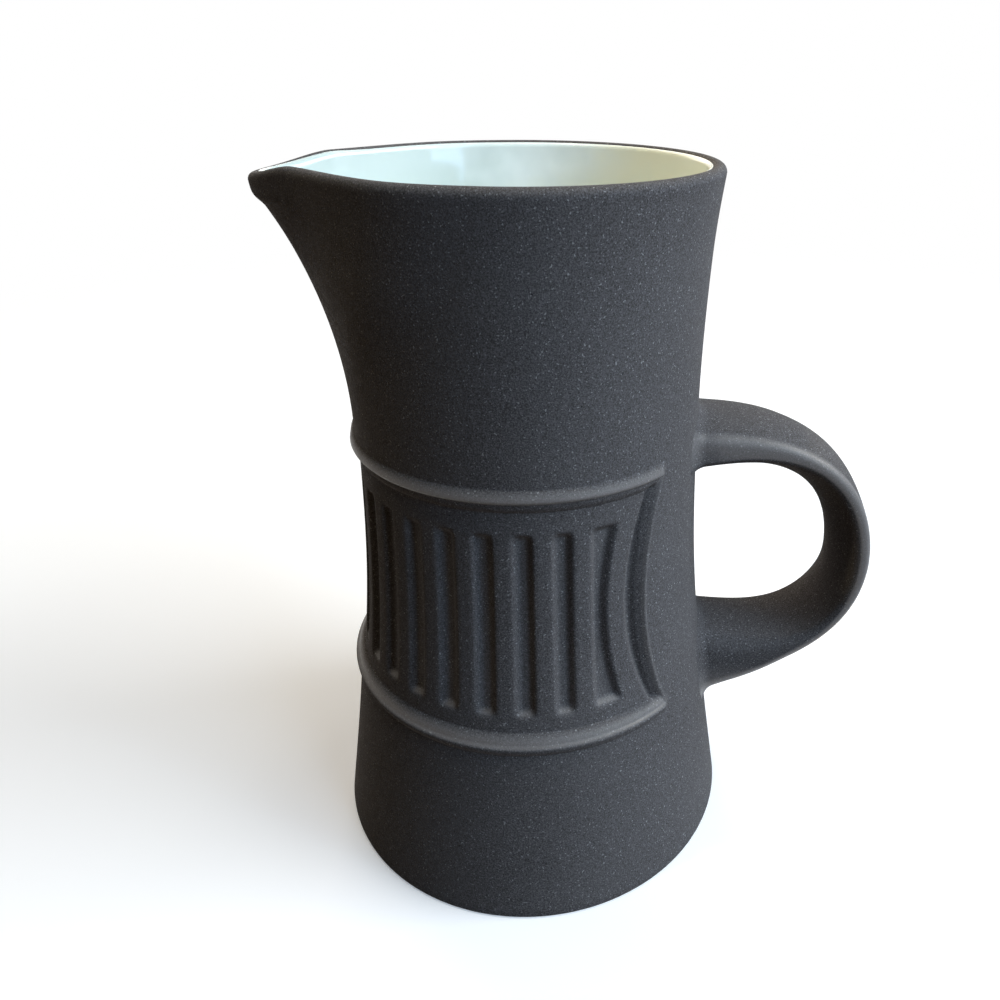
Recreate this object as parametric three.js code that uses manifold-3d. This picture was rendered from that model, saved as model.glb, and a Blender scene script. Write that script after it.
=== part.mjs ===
// A tall cream jug in dark matt stoneware, made as three pieces: the body with its pinched spout,
// the strap handle luted on opposite the spout, and the pale glaze that lines the inside.
// A band between two raised rings holds upright flutes and wraps round under the spout.
// Millimetres, Z up, standing on the XY plane with the handle towards +X.
import * as THREE from "three";
import { mergeVertices } from "three/addons/utils/BufferGeometryUtils.js";
import Module from "manifold-3d";

// Height of the rim above the table, and the outside radius of the wall on its way up.
const HEIGHT = 140;
const FOOT_RADIUS = 42.7;
const LOWER_HEIGHT = 30;
const LOWER_RADIUS = 38.3;
const MIDDLE_HEIGHT = 62;
const MIDDLE_RADIUS = 34.9;
const WAIST_HEIGHT = 96;
const WAIST_RADIUS = 34;
const NECK_BELOW_RIM = 16;
const NECK_RADIUS = 34.9;
const RIM_RADIUS = 36.6;

// Thickness of the clay, the turned foot ring and the inside of the base.
const WALL = 2.8;
const BASE_THICKNESS = 4;
const FOOT_RECESS = 1.2;
const FOOT_RING_WIDTH = 5;
const FOOT_EDGE = 0.6;
const INNER_CORNER = 9;

// The spout: how far its keel runs down and out, how wide it opens and how much its tip dips.
const SPOUT_DEPTH = 66;
const SPOUT_THROW = 13.1;
const SPOUT_SWEEP = 2.7;
const SPOUT_ROOT_ANGLE = 23;
const SPOUT_LIP_ANGLE = 29.6;
const SPOUT_TIP_ROUNDING = 8;
const SPOUT_FOLD = 6;
const SPOUT_DIP = 2.3;
const SPOUT_DIP_ANGLE = 20;

// The raised rings, and the slightly sunk band between them with its bowed ends.
const LOWER_RING_HEIGHT = 39.1;
const UPPER_RING_HEIGHT = 88.5;
const RING_HALF_WIDTH = 1.85;
const LOWER_RING_PROUD = 1.3;
const UPPER_RING_PROUD = 0.95;
const RING_TIP_SCALE = 0.5;
const BAND_SUNK = 0.6;
const BAND_END_ANGLE = 51.3;
const BAND_END_BOW = 7.5;
const END_BEAD_HALF_WIDTH = 0.8;
const END_BEAD_PROUD = 0.5;
const BEAD_BITE = 2;

// The flutes pressed into the band.
const FLUTE_PITCH = 12;
const FLUTE_WIDTH = 4.4;
const FLUTE_DEPTH = 1.15;
const FLUTE_FLANK = 1.45;
const FLUTE_WIDEST_FLANK = 0.4;
const FLUTE_SHOULDER = 0.85;
const FLUTE_RUN_OUT = 1.6;
const FLUTE_ABOVE_RING = 5.1;
const FLUTE_BELOW_RING = 6.4;
const END_FLUTE_WIDTH = 3.6;
const END_FLUTE_TAPER = 0.55;
const END_RIB_WIDTH = 2.8;
const NARROWEST_LAST_FLUTE = 0.7;

// The strap handle: the heights of its roots and of its farthest point, and how far its curves
// run on straight from each of them before they turn.
const HANDLE_TOP_HEIGHT = 86.2;
const HANDLE_TOP_RISE = 4.6;
const HANDLE_BOW_HEIGHT = 59.8;
const HANDLE_FOOT_HEIGHT = 34.4;
const HANDLE_REACH = 69.5;
const HANDLE_TOP_RUN = 35;
const HANDLE_BOW_RISE = 8;
const HANDLE_BOW_DROP = 11;
const HANDLE_FOOT_RUN = 28;
const STRAP_ROOT_BITE = 3;

// The strap's section, each size given where the strap leaves the wall above, at the upper bend,
// at the bow, at the lower bend and where it meets the wall again: its width, the thickness of
// its edges, and how far its outside is crowned and its inside bellied between them.
const STRAP_WIDTHS = [21.7, 20.2, 19.4, 19, 18.8];
const STRAP_EDGES = [6.2, 2.6, 2.45, 2.7, 12.6];
const STRAP_CROWNS = [0.5, 1.8, 0.2, 0.3, 1];
const STRAP_BELLIES = [0.9, 4.1, 4.1, 2, 0.2];
const STRAP_CORNER = 1.1;
const STRAP_FILLET = 2.2;

// The glaze inside: its thickness, how far it climbs round the lip, and the fit between pieces.
const GLAZE = 0.5;
const GLAZE_LIP_ANGLE = 36;
const SEAT_GAP = 0.3;

// How finely the curved surfaces are divided.
const OUTLINE_STEPS = 240;
const WALL_ROWS = 12;
const INNER_ROWS = 9;
const LIP_STEPS = 4;
const CORNER_STEPS = 3;
const WIDE_STEP = 7.5;
const SPOUT_STEP = 3.6;
const CROWDING = 1.3;
const KEEL_CROWDING = 1.15;
const FLUTE_ROWS = 4;
const BAND_ROWS = 5;
const RING_STEP = 7.5;
const BEAD_ROWS = 10;
const BEAD_ARC_STEPS = 4;
const BEAD_FOOT_ANGLE = 12;
const STRAP_STATIONS = 46;
const STRAP_END_CROWDING = 0.6;
const STRAP_CORNER_STEPS = 2;
const STRAP_INSIDE_STEPS = 4;
const STRAP_OUTSIDE_STEPS = 2;
const GLAZE_LIP_STEPS = 2;
const CUTTER_CLEARANCE = 2.5;
const FARTHEST_SWING = 150;
const PROBE = 0.25;

const RAD = Math.PI / 180;
const SPOUT_SIDE = Math.PI;
const lipRadius = WALL / 2;
const floorHeight = FOOT_RECESS + BASE_THICKNESS;
const spoutRoot = HEIGHT - SPOUT_DEPTH;
const spoutTip = HEIGHT - SPOUT_DIP - lipRadius;
const bandMiddle = (LOWER_RING_HEIGHT + UPPER_RING_HEIGHT) / 2;
const bandHalf = (UPPER_RING_HEIGHT - LOWER_RING_HEIGHT) / 2;

const wasm = await Module();
wasm.setup();

const { clamp, lerp } = THREE.MathUtils;

// The wall's outline as one smooth curve through its named radii.
const wallCurve = new THREE.SplineCurve([
  new THREE.Vector2(FOOT_RADIUS, 0),
  new THREE.Vector2(LOWER_RADIUS, LOWER_HEIGHT),
  new THREE.Vector2(MIDDLE_RADIUS, MIDDLE_HEIGHT),
  new THREE.Vector2(WAIST_RADIUS, WAIST_HEIGHT),
  new THREE.Vector2(NECK_RADIUS, HEIGHT - NECK_BELOW_RIM),
  new THREE.Vector2(RIM_RADIUS, HEIGHT),
]);
const outline = wallCurve.getPoints(OUTLINE_STEPS);

// Radius of the plain wall at a height, found between two points of the outline.
function wallRadius(height) {
  const next = outline.findIndex((point) => point.y >= height);
  if (next < 0) return RIM_RADIUS;
  if (next === 0) return FOOT_RADIUS;
  const low = outline[next - 1];
  const high = outline[next];
  return lerp(low.x, high.x, (height - low.y) / (high.y - low.y));
}

// Angle away from the spout's keel, the same on both sides of it.
function fromKeel(angle) {
  return Math.abs(Math.atan2(Math.sin(angle - SPOUT_SIDE), Math.cos(angle - SPOUT_SIDE)));
}

// The larger of two values, with the corner between them rounded.
function roundedMax(a, b, blend) {
  const overlap = Math.max(blend - Math.abs(a - b), 0);
  return Math.max(a, b) + (blend > 0 ? (overlap * overlap) / (4 * blend) : 0);
}

// Outside radius of the jug: the plain wall, and where the spout is, two straight flanks that meet
// in a rounded keel and fold softly into the wall.
function outsideRadius(angle, height) {
  const radius = wallRadius(height);
  const rise = clamp((height - spoutRoot) / (spoutTip - spoutRoot), 0, 1);
  const keel = SPOUT_THROW * rise ** SPOUT_SWEEP;
  if (keel === 0) return radius;
  const rounding = SPOUT_TIP_ROUNDING * RAD;
  const turn = Math.hypot(fromKeel(angle), rounding) - rounding;
  const spread = lerp(SPOUT_ROOT_ANGLE, SPOUT_LIP_ANGLE, rise) * RAD;
  const reach = radius + keel;
  const flank = Math.atan2(Math.sin(spread), reach / radius - Math.cos(spread));
  const nearest = reach * Math.sin(flank);
  const swing = Math.min(flank + turn, FARTHEST_SWING * RAD);
  const line = swing < Math.PI / 2 ? nearest / Math.sin(swing) : nearest * (2 - 1 / Math.sin(swing));
  return roundedMax(radius, line, Math.min(SPOUT_FOLD, keel));
}

// Radius of the surface that lies a given depth inside the outside, measured square to it.
function skin(angle, height, depth) {
  const radius = outsideRadius(angle, height);
  const above = outsideRadius(angle, Math.min(height + PROBE, HEIGHT));
  const below = outsideRadius(angle, Math.max(height - PROBE, 0));
  const swing = PROBE / radius;
  const ahead = outsideRadius(angle + swing, height);
  const behind = outsideRadius(angle - swing, height);
  return radius - depth * Math.hypot(1, (above - below) / (2 * PROBE), (ahead - behind) / (2 * PROBE));
}

function pointOnSkin(angle, height, depth) {
  const radius = skin(angle, height, depth);
  return new THREE.Vector3(radius * Math.cos(angle), radius * Math.sin(angle), height);
}

// The rim is level except at the spout, where it dips towards the tip.
function rimDip(angle) {
  const share = clamp(fromKeel(angle) / (SPOUT_DIP_ANGLE * RAD), 0, 1);
  return SPOUT_DIP * (1 - share * share) ** 2;
}

// A level row of the wall follows the dip of the rim more and more on its way up the spout.
function dipped(angle, height) {
  return height - rimDip(angle) * clamp((height - spoutRoot) / (HEIGHT - spoutRoot), 0, 1);
}

// Heights from low to high, crowded towards the high end.
function rowHeights(low, high, count) {
  return Array.from({ length: count + 1 }, (_, i) => lerp(low, high, 1 - (1 - i / count) ** CROWDING));
}

// Angles once round the jug, closer together across the spout.
function wallAngles() {
  const half = (SPOUT_LIP_ANGLE + SPOUT_TIP_ROUNDING + SPOUT_STEP) * RAD;
  const spoutCount = Math.ceil(half / (SPOUT_STEP * RAD));
  const wideCount = Math.ceil((2 * Math.PI - 2 * half) / (WIDE_STEP * RAD));
  const angles = [];
  for (let i = -spoutCount; i < spoutCount; i += 1) {
    const share = Math.abs(i / spoutCount) ** KEEL_CROWDING;
    angles.push(SPOUT_SIDE + Math.sign(i) * half * share);
  }
  for (let i = 0; i < wideCount; i += 1) {
    angles.push(SPOUT_SIDE + half + ((2 * Math.PI - 2 * half) * i) / wideCount);
  }
  return angles;
}

// Closed surface from a point on the axis, out and round through rings of points, and back to a
// point on the axis. A station gives the radius and height of its ring at an angle.
function turnedSolid(stations, startHeight, endHeight) {
  const angles = wallAngles();
  const count = angles.length;
  const positions = [0, 0, startHeight];
  for (const station of stations) {
    for (const angle of angles) {
      const [radius, height] = station(angle);
      positions.push(radius * Math.cos(angle), radius * Math.sin(angle), height);
    }
  }
  positions.push(0, 0, endHeight);
  const at = (ring, i) => 1 + ring * count + (i % count);
  const last = stations.length - 1;
  const end = 1 + stations.length * count;
  const faces = [];
  for (let i = 0; i < count; i += 1) {
    faces.push(0, at(0, i + 1), at(0, i));
    for (let ring = 0; ring < last; ring += 1) {
      faces.push(at(ring, i), at(ring, i + 1), at(ring + 1, i + 1));
      faces.push(at(ring, i), at(ring + 1, i + 1), at(ring + 1, i));
    }
    faces.push(at(last, i), at(last, i + 1), end);
  }
  return geometryFrom(positions, faces);
}

function geometryFrom(positions, faces) {
  const geometry = new THREE.BufferGeometry();
  geometry.setAttribute("position", new THREE.Float32BufferAttribute(positions, 3));
  geometry.setIndex(faces);
  return geometry;
}

// Rows up the wall at a depth, from one height to another.
function wallStations(low, high, count, depth) {
  return rowHeights(low, high, count).map((row) => (angle) => {
    const height = dipped(angle, row);
    return [skin(angle, height, depth), height];
  });
}

// The rounded corner between the wall and the floor inside, at a depth, from the wall inwards.
function cornerStations(depth, floor, radius) {
  return Array.from({ length: CORNER_STEPS }, (_, i) => (angle) => {
    const turn = ((i + 1) / CORNER_STEPS) * (Math.PI / 2);
    const wall = skin(angle, floor + radius, depth);
    return [wall - radius * (1 - Math.cos(turn)), floor + radius * (1 - Math.sin(turn))];
  });
}

// The half round lip, from just past the outside to just before the inside.
function lipStations() {
  return Array.from({ length: LIP_STEPS - 1 }, (_, i) => (angle) => {
    const turn = ((i + 1) / LIP_STEPS) * Math.PI;
    const centre = dipped(angle, HEIGHT) - lipRadius;
    const depth = lipRadius * (1 - Math.cos(turn));
    return [skin(angle, centre, depth), centre + lipRadius * Math.sin(turn)];
  });
}

// The turned foot: a flat ring to stand on round a shallow recess, with its outer edge softened.
function footStations() {
  const edge = (angle) => skin(angle, FOOT_EDGE, 0);
  const ringInside = FOOT_RADIUS - FOOT_RING_WIDTH;
  return [
    () => [ringInside - FOOT_RECESS, FOOT_RECESS],
    () => [ringInside, 0],
    (angle) => [edge(angle) - FOOT_EDGE, 0],
    (angle) => [edge(angle) - FOOT_EDGE * (1 - Math.SQRT1_2), FOOT_EDGE * (1 - Math.SQRT1_2)],
  ];
}

// A closed block lying on the wall between two sets of bounds. Across and up run from 0 to 1, and
// the block reaches from the depth given to a little outside the wall.
function wallBlock(acrossSteps, upSteps, place) {
  const positions = [];
  const rows = upSteps.length;
  const columns = acrossSteps.length;
  for (const outer of [false, true]) {
    for (const up of upSteps) {
      for (const across of acrossSteps) {
        const { angle, height, depth } = place(across, up);
        const at = pointOnSkin(angle, height, outer ? -CUTTER_CLEARANCE : depth);
        positions.push(at.x, at.y, at.z);
      }
    }
  }
  const inner = (i, j) => j * columns + i;
  const outer = (i, j) => rows * columns + j * columns + i;
  const faces = [];
  const quad = (a, b, c, d) => faces.push(a, b, c, a, c, d);
  for (let j = 0; j < rows - 1; j += 1) {
    for (let i = 0; i < columns - 1; i += 1) {
      quad(outer(i, j), outer(i + 1, j), outer(i + 1, j + 1), outer(i, j + 1));
      quad(inner(i, j), inner(i, j + 1), inner(i + 1, j + 1), inner(i + 1, j));
    }
    quad(inner(0, j), outer(0, j), outer(0, j + 1), inner(0, j + 1));
    quad(inner(columns - 1, j), inner(columns - 1, j + 1), outer(columns - 1, j + 1), outer(columns - 1, j));
  }
  for (let i = 0; i < columns - 1; i += 1) {
    quad(inner(i, 0), inner(i + 1, 0), outer(i + 1, 0), outer(i, 0));
    quad(inner(i, rows - 1), outer(i, rows - 1), outer(i + 1, rows - 1), inner(i + 1, rows - 1));
  }
  return geometryFrom(positions, faces);
}

function evenSteps(count) {
  return Array.from({ length: count + 1 }, (_, i) => i / count);
}

// The bowed end of the band: its angle from the handle at a height.
function bandEnd(height) {
  const share = (height - bandMiddle) / bandHalf;
  return (BAND_END_ANGLE - BAND_END_BOW * share * share) * RAD;
}

// A width along the wall as an angle, at the middle of the band.
function asAngle(width) {
  return width / wallRadius(bandMiddle);
}

// The sunk ground of the band, from its end on one side round under the spout to the other.
function bandGround() {
  const columns = Math.ceil(360 / RING_STEP);
  return wallBlock(evenSteps(columns), evenSteps(BAND_ROWS), (across, up) => {
    const height = lerp(LOWER_RING_HEIGHT, UPPER_RING_HEIGHT, up);
    const end = bandEnd(height);
    return { angle: lerp(end, 2 * Math.PI - end, across), height, depth: BAND_SUNK };
  });
}

// A block that presses a flute: sloped sides, a slightly rounded floor and sloped ends. Its slopes
// are carried on up to the plain wall, so that they also cut cleanly through the sunk ground.
function flute({ left, right, low, high }) {
  const carry = BAND_SUNK / FLUTE_DEPTH;
  const shoulder = BAND_SUNK + FLUTE_DEPTH * FLUTE_SHOULDER;
  const flank = (from, to) => Math.min(asAngle(FLUTE_FLANK), (to - from) * FLUTE_WIDEST_FLANK);
  const columns = [
    { depth: 0, angle: (from, to) => from - flank(from, to) * carry },
    { depth: shoulder, angle: (from, to) => from + flank(from, to) },
    { depth: BAND_SUNK + FLUTE_DEPTH, angle: (from, to) => (from + to) / 2 },
    { depth: shoulder, angle: (from, to) => to - flank(from, to) },
    { depth: 0, angle: (from, to) => to + flank(from, to) * carry },
  ];
  const rows = [{ height: low - FLUTE_RUN_OUT * carry, isEnd: true }];
  for (const share of evenSteps(FLUTE_ROWS)) {
    rows.push({ height: lerp(low + FLUTE_RUN_OUT, high - FLUTE_RUN_OUT, share), isEnd: false });
  }
  rows.push({ height: high + FLUTE_RUN_OUT * carry, isEnd: true });
  return wallBlock(columns, rows, (column, { height, isEnd }) => {
    const angle = column.angle(left(height), right(height));
    return { angle, height, depth: isEnd ? 0 : column.depth };
  });
}

// The flutes on one side of the jug, from the spout to the band's end. The last upright one is
// wider, its far side bowed like the end, and a slim bowed flute follows along the end itself.
function flutesOnOneSide() {
  const low = LOWER_RING_HEIGHT + FLUTE_ABOVE_RING;
  const high = UPPER_RING_HEIGHT - FLUTE_BELOW_RING;
  const pitch = FLUTE_PITCH * RAD;
  const half = asAngle(FLUTE_WIDTH) / 2;
  const endEdge = (height) => bandEnd(height) + asAngle(END_BEAD_HALF_WIDTH);
  const rail = (height) => endEdge(height) + asAngle(END_FLUTE_WIDTH + END_RIB_WIDTH);
  const flutes = [];
  let centre = Math.PI - pitch / 2;
  while (centre > 0) {
    const here = centre;
    const nextWidth = here - pitch + half - rail(bandMiddle);
    const isLast = nextWidth < NARROWEST_LAST_FLUTE * 2 * half;
    const left = isLast ? rail : () => here - half;
    flutes.push(flute({ left, right: () => here + half, low, high }));
    if (isLast) break;
    centre -= pitch;
  }
  const ringEdge = RING_HALF_WIDTH;
  const endLow = LOWER_RING_HEIGHT + ringEdge;
  const endHigh = UPPER_RING_HEIGHT - ringEdge;
  const width = (height) => {
    const share = Math.abs(height - bandMiddle) / bandHalf;
    return asAngle(END_FLUTE_WIDTH) * lerp(1, END_FLUTE_TAPER, share * share);
  };
  flutes.push(
    flute({ left: endEdge, right: (height) => endEdge(height) + width(height), low: endLow, high: endHigh }),
  );
  return flutes;
}

// A raised bead along a path on the wall: half round above the wall, square where it bites in.
function bead(path, halfWidth, proud) {
  const foot = BEAD_FOOT_ANGLE * RAD;
  const section = [[Math.cos(foot), -BEAD_BITE / proud]];
  for (let i = 0; i <= BEAD_ARC_STEPS; i += 1) {
    const turn = lerp(foot, Math.PI - foot, i / BEAD_ARC_STEPS);
    section.push([Math.cos(turn), Math.sin(turn)]);
  }
  section.push([-Math.cos(foot), -BEAD_BITE / proud]);
  const positions = [];
  const count = section.length;
  path.forEach((here, i) => {
    const before = path[Math.max(i - 1, 0)];
    const after = path[Math.min(i + 1, path.length - 1)];
    const radius = wallRadius(here.height);
    const along = new THREE.Vector2((after.angle - before.angle) * radius, after.height - before.height);
    along.normalize();
    for (const [side, lift] of section) {
      const angle = here.angle - (side * halfWidth * here.scale * along.y) / radius;
      const height = here.height + side * halfWidth * here.scale * along.x;
      const at = pointOnSkin(angle, height, lift > 0 ? -lift * proud * here.scale : -lift * proud);
      positions.push(at.x, at.y, at.z);
    }
  });
  const faces = [];
  const last = path.length - 1;
  for (let i = 0; i < last; i += 1) {
    for (let j = 0; j < count; j += 1) {
      const next = (j + 1) % count;
      const a = i * count + j;
      const b = i * count + next;
      faces.push(a, b + count, a + count, a, b, b + count);
    }
  }
  for (let j = 1; j < count - 1; j += 1) {
    faces.push(0, j + 1, j);
    faces.push(last * count, last * count + j, last * count + j + 1);
  }
  return geometryFrom(positions, faces);
}

// A ring round the jug at a height, from one end of the band to the other, slimmer at its tips.
function ringPath(height) {
  const end = bandEnd(height);
  const tip = asAngle(END_BEAD_HALF_WIDTH);
  const count = Math.ceil((360 - (2 * end) / RAD) / RING_STEP);
  const angles = [end - tip];
  for (let i = 0; i <= count; i += 1) angles.push(lerp(end + tip, 2 * Math.PI - end - tip, i / count));
  angles.push(2 * Math.PI - end + tip);
  const isTip = (i) => i === 0 || i === angles.length - 1;
  return angles.map((angle, i) => ({ angle, height, scale: isTip(i) ? RING_TIP_SCALE : 1 }));
}

// The bead that closes the band at one end, joining the tips of the two rings.
function endPath() {
  return evenSteps(BEAD_ROWS).map((share) => {
    const height = lerp(LOWER_RING_HEIGHT, UPPER_RING_HEIGHT, share);
    return { angle: bandEnd(height), height, scale: 1 };
  });
}

// The handle's middle line: out from the wall, round the bow and back in lower down.
function handleCurve() {
  const topRoot = wallRadius(HANDLE_TOP_HEIGHT) - STRAP_ROOT_BITE;
  const footRoot = wallRadius(HANDLE_FOOT_HEIGHT) - STRAP_ROOT_BITE;
  const at = (x, z) => new THREE.Vector3(x, 0, z);
  const curve = new THREE.CurvePath();
  curve.add(
    new THREE.CubicBezierCurve3(
      at(topRoot, HANDLE_TOP_HEIGHT),
      at(topRoot + HANDLE_TOP_RUN, HANDLE_TOP_HEIGHT + HANDLE_TOP_RISE),
      at(HANDLE_REACH, HANDLE_BOW_HEIGHT + HANDLE_BOW_RISE),
      at(HANDLE_REACH, HANDLE_BOW_HEIGHT),
    ),
  );
  curve.add(
    new THREE.CubicBezierCurve3(
      at(HANDLE_REACH, HANDLE_BOW_HEIGHT),
      at(HANDLE_REACH, HANDLE_BOW_HEIGHT - HANDLE_BOW_DROP),
      at(footRoot + HANDLE_FOOT_RUN, HANDLE_FOOT_HEIGHT),
      at(footRoot, HANDLE_FOOT_HEIGHT),
    ),
  );
  return curve;
}

// A size of the strap along its length, as a smooth curve through its five values.
function alongStrap(sizes) {
  return new THREE.SplineCurve(sizes.map((size) => new THREE.Vector2(0, size)));
}

const strapWidths = alongStrap(STRAP_WIDTHS);
const strapEdges = alongStrap(STRAP_EDGES);
const strapCrowns = alongStrap(STRAP_CROWNS);
const strapBellies = alongStrap(STRAP_BELLIES);

// Outline of the strap's section at a share of its length, as offsets across and out: a flat bar
// with rounded corners, its outside crowned and its inside bellied.
function strapSection(share) {
  const width = strapWidths.getPoint(share).y;
  const thickness = strapEdges.getPoint(share).y;
  const crown = strapCrowns.getPoint(share).y;
  const belly = strapBellies.getPoint(share).y;
  const flat = width / 2 - STRAP_CORNER;
  const points = [];
  const corner = (side, out, start) => {
    for (let i = 0; i <= STRAP_CORNER_STEPS; i += 1) {
      const turn = start + (i / STRAP_CORNER_STEPS) * (Math.PI / 2);
      const across = side * flat + STRAP_CORNER * Math.cos(turn);
      points.push([across, out * (thickness / 2 - STRAP_CORNER) + STRAP_CORNER * Math.sin(turn)]);
    }
  };
  const face = (side, out, steps) => {
    for (let i = 1; i < steps; i += 1) {
      points.push([side * lerp(flat, -flat, i / steps), (out * thickness) / 2]);
    }
  };
  corner(1, 1, 0);
  face(1, 1, STRAP_OUTSIDE_STEPS);
  corner(-1, 1, Math.PI / 2);
  corner(-1, -1, Math.PI);
  face(-1, -1, STRAP_INSIDE_STEPS);
  corner(1, -1, Math.PI * 1.5);
  return points.map(([across, lift]) => {
    const swell = 1 - ((2 * across) / width) ** 2;
    return [across, lift + (lift > 0 ? crown : -belly) * swell];
  });
}

// How far the strap spreads at a distance from the wall, where the joint is smoothed over.
function jointSpread(distance) {
  const near = clamp(1 - distance / STRAP_FILLET, 0, 1);
  return STRAP_FILLET * (1 - Math.sqrt(1 - near * near));
}

// The strap swept along its middle line, its section always upright across the jug's side. The
// sections lie closer together towards the two roots.
function strap() {
  const curve = handleCurve();
  const positions = [];
  let count = 0;
  for (let i = 0; i <= STRAP_STATIONS; i += 1) {
    const even = i / STRAP_STATIONS;
    const share = even - (STRAP_END_CROWDING * Math.sin(2 * Math.PI * even)) / (2 * Math.PI);
    const centre = curve.getPointAt(share);
    const tangent = curve.getTangentAt(share);
    const section = strapSection(share);
    count = section.length;
    for (const [across, lift] of section) {
      const x = centre.x - tangent.z * lift;
      const z = centre.z + tangent.x * lift;
      const spread = jointSpread(Math.hypot(x, across) - wallRadius(z)) / Math.hypot(across, lift);
      positions.push(x - tangent.z * lift * spread, across * (1 + spread), z + tangent.x * lift * spread);
    }
  }
  const faces = [];
  for (let i = 0; i < STRAP_STATIONS; i += 1) {
    for (let j = 0; j < count; j += 1) {
      const a = i * count + j;
      const b = i * count + ((j + 1) % count);
      faces.push(a, b, b + count, a, b + count, a + count);
    }
  }
  const end = STRAP_STATIONS * count;
  for (let j = 1; j < count - 1; j += 1) {
    faces.push(0, j + 1, j);
    faces.push(end, end + j, end + j + 1);
  }
  return geometryFrom(positions, faces);
}

function toSolid(geometry) {
  const merged = mergeVertices(geometry, 1e-4);
  return new wasm.Manifold(
    new wasm.Mesh({
      numProp: 3,
      vertProperties: new Float32Array(merged.attributes.position.array),
      triVerts: new Uint32Array(merged.index.array),
    }),
  );
}

function toGeometry(solid) {
  const mesh = solid.getMesh();
  return geometryFrom(Array.from(mesh.vertProperties), Array.from(mesh.triVerts));
}

// The wall with its spout, foot and hollow, before the relief.
function plainBody() {
  const lipCentre = HEIGHT - lipRadius;
  const stations = [
    ...footStations(),
    ...wallStations(FOOT_EDGE, lipCentre, WALL_ROWS, 0),
    ...lipStations(),
    ...wallStations(floorHeight + INNER_CORNER, lipCentre, INNER_ROWS, WALL).reverse(),
    ...cornerStations(WALL, floorHeight, INNER_CORNER),
  ];
  return turnedSolid(stations, FOOT_RECESS, floorHeight);
}

// The solid inside the outside surface, made a little larger all round, that trims the handle.
function handleTrim() {
  const stations = wallStations(0, HEIGHT, WALL_ROWS, -SEAT_GAP);
  return turnedSolid(stations, 0, HEIGHT);
}

// The glaze where it climbs the rounded inside of the lip, a given distance off the clay.
function glazeLip(clearance) {
  return Array.from({ length: GLAZE_LIP_STEPS }, (_, i) => (angle) => {
    const turn = ((i + 1) / GLAZE_LIP_STEPS) * GLAZE_LIP_ANGLE * RAD;
    const centre = dipped(angle, HEIGHT - lipRadius);
    const radius = lipRadius + clearance;
    return [skin(angle, centre, lipRadius + radius * Math.cos(turn)), centre + radius * Math.sin(turn)];
  });
}

// The glaze, a thin cup just inside the clay that ends on the inside of the lip.
function glazeCup() {
  const outer = WALL + SEAT_GAP;
  const inner = outer + GLAZE;
  const low = floorHeight + INNER_CORNER;
  const high = HEIGHT - lipRadius;
  const outerFloor = floorHeight + SEAT_GAP;
  const stations = [
    ...cornerStations(outer, outerFloor, INNER_CORNER - SEAT_GAP).reverse(),
    ...wallStations(low, high, INNER_ROWS, outer),
    ...glazeLip(SEAT_GAP),
    ...glazeLip(SEAT_GAP + GLAZE).reverse(),
    ...wallStations(low, high, INNER_ROWS, inner).reverse(),
    ...cornerStations(inner, outerFloor + GLAZE, INNER_CORNER - SEAT_GAP - GLAZE),
  ];
  return turnedSolid(stations, outerFloor, outerFloor + GLAZE);
}

// The same shape on the other side of the jug, turned inside out again so that it faces outwards.
function otherSide(geometry) {
  const copy = geometry.clone().scale(1, -1, 1);
  copy.setIndex(Array.from(copy.index.array).reverse());
  return copy;
}

let body = toSolid(plainBody()).subtract(toSolid(bandGround()));
for (const cutter of flutesOnOneSide()) {
  body = body.subtract(toSolid(cutter)).subtract(toSolid(otherSide(cutter)));
}
body = body.add(toSolid(bead(ringPath(LOWER_RING_HEIGHT), RING_HALF_WIDTH, LOWER_RING_PROUD)));
body = body.add(toSolid(bead(ringPath(UPPER_RING_HEIGHT), RING_HALF_WIDTH, UPPER_RING_PROUD)));
const endBead = bead(endPath(), END_BEAD_HALF_WIDTH, END_BEAD_PROUD);
body = body.add(toSolid(endBead)).add(toSolid(otherSide(endBead)));

const handle = toSolid(strap()).subtract(toSolid(handleTrim()));

const clay = new THREE.MeshStandardMaterial({ color: 0x2e2d30, roughness: 0.82, metalness: 0 });
const strapClay = new THREE.MeshStandardMaterial({ color: 0x302f32, roughness: 0.8, metalness: 0 });
const glaze = new THREE.MeshStandardMaterial({ color: 0xe6e8d8, roughness: 0.12, metalness: 0 });

function piece(name, geometry, material) {
  const mesh = new THREE.Mesh(geometry, material);
  mesh.name = name;
  return mesh;
}

// The jug is drawn round its own axis, then set so that the origin lies under the middle of its
// whole length from the spout's tip to the outside of the handle.
const jug = new THREE.Group();
jug.add(piece("body", toGeometry(body), clay));
jug.add(piece("handle", toGeometry(handle), strapClay));
jug.add(piece("glaze_lining", glazeCup(), glaze));

const bounds = new THREE.Box3().setFromObject(jug);
jug.position.x = -(bounds.min.x + bounds.max.x) / 2;

const part = new THREE.Group();
part.add(jug);

export default part;
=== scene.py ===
import math

import bpy
import numpy as np
from mathutils import Matrix, Vector


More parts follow.
